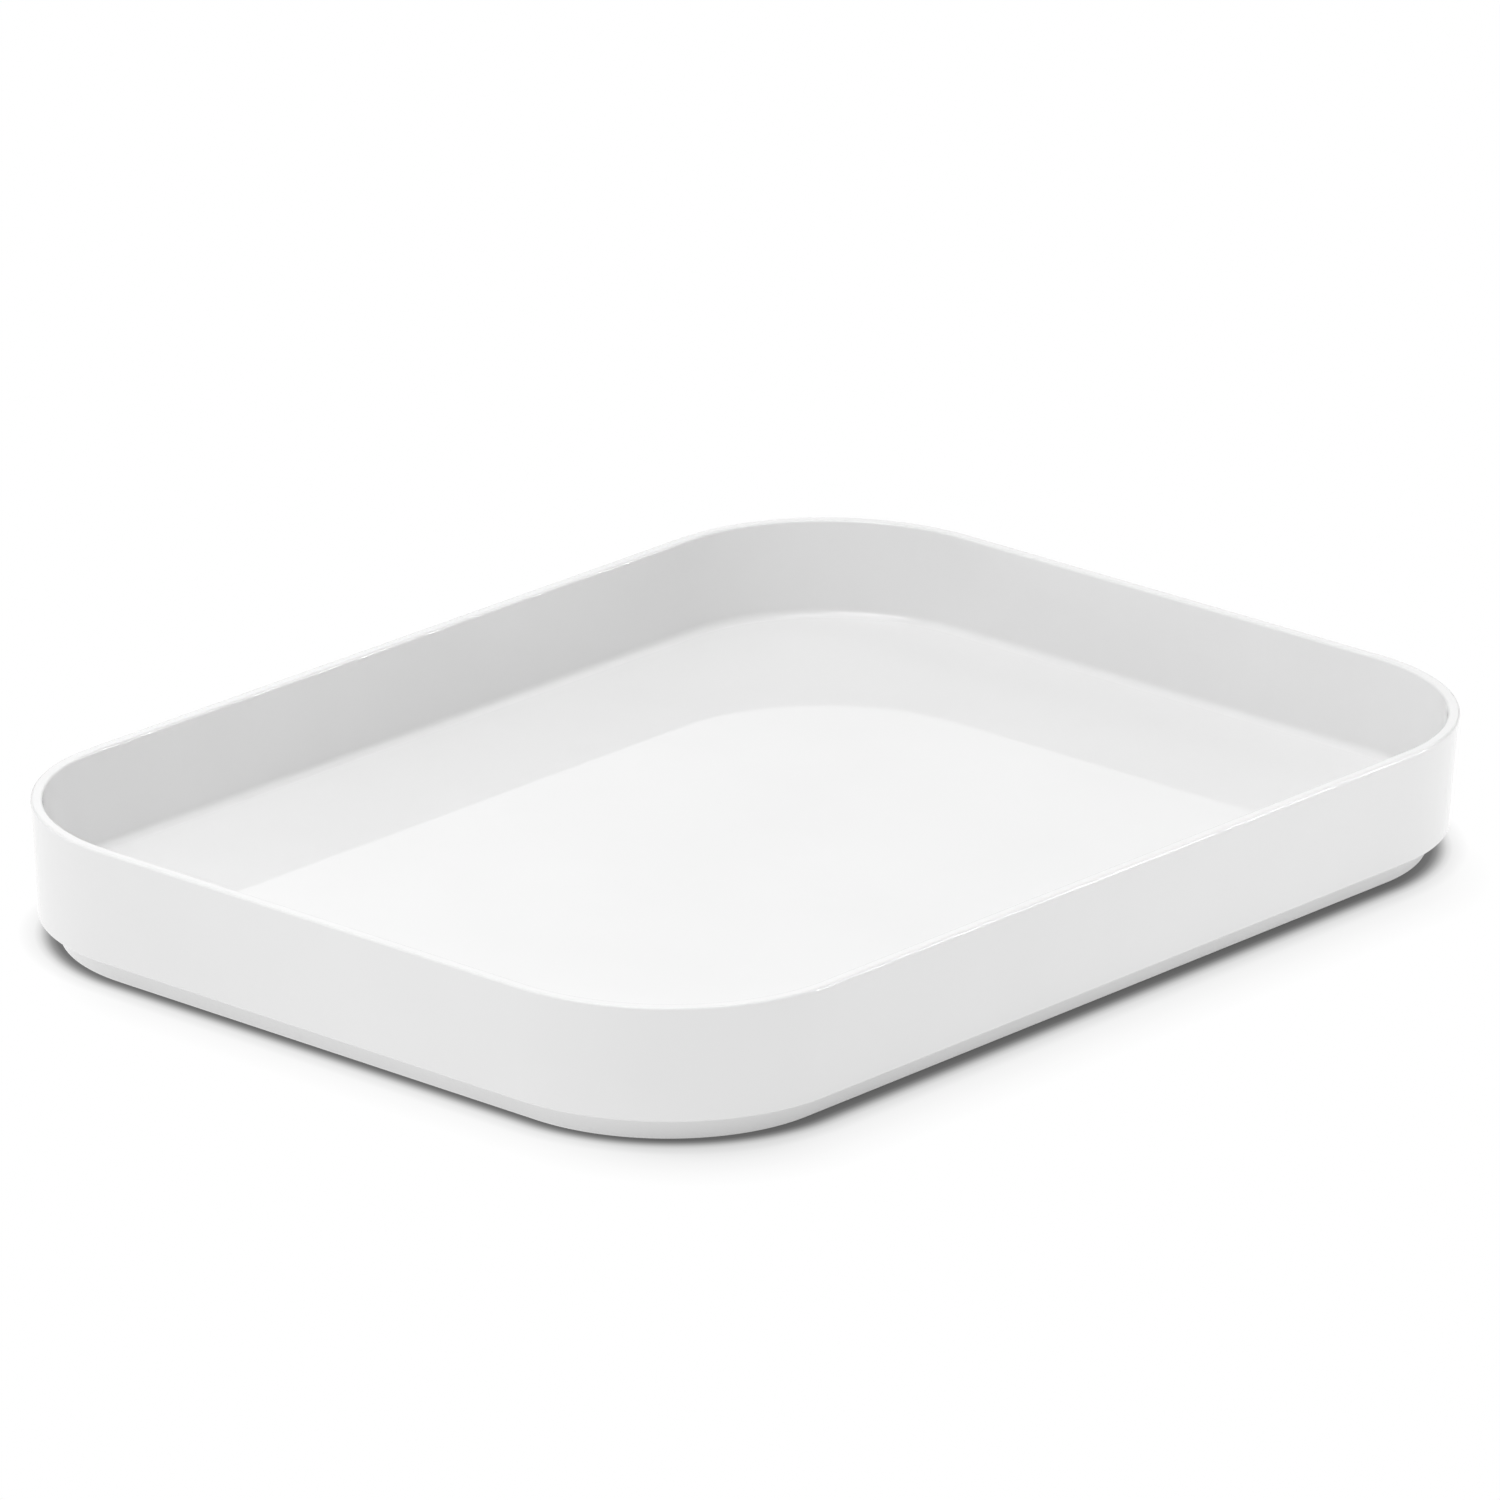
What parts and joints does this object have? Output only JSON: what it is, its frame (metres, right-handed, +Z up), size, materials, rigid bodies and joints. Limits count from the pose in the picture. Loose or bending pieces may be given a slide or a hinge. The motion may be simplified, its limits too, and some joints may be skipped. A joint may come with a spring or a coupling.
{
  "type": "shallow tray",
  "caption": "Shallow one-piece plastic tray with wide rounded corners, thin drafted walls, a flat rim, a flat floor and a set-in foot ring.",
  "frame": {"origin": "middle of the foot ring, on the surface that the tray stands on", "axes": "+X along the tray's long side, +Y along its short side, +Z up out of the open side"},
  "size_m": [0.196, 0.145, 0.0215],
  "materials": {
    "white_plastic": "smooth high-gloss moulded white plastic, polished on the inside and on the walls, faintly matt underneath"
  },
  "bodies": {
    "root": {"tray": "white_plastic"}
  },
  "joints": []
}
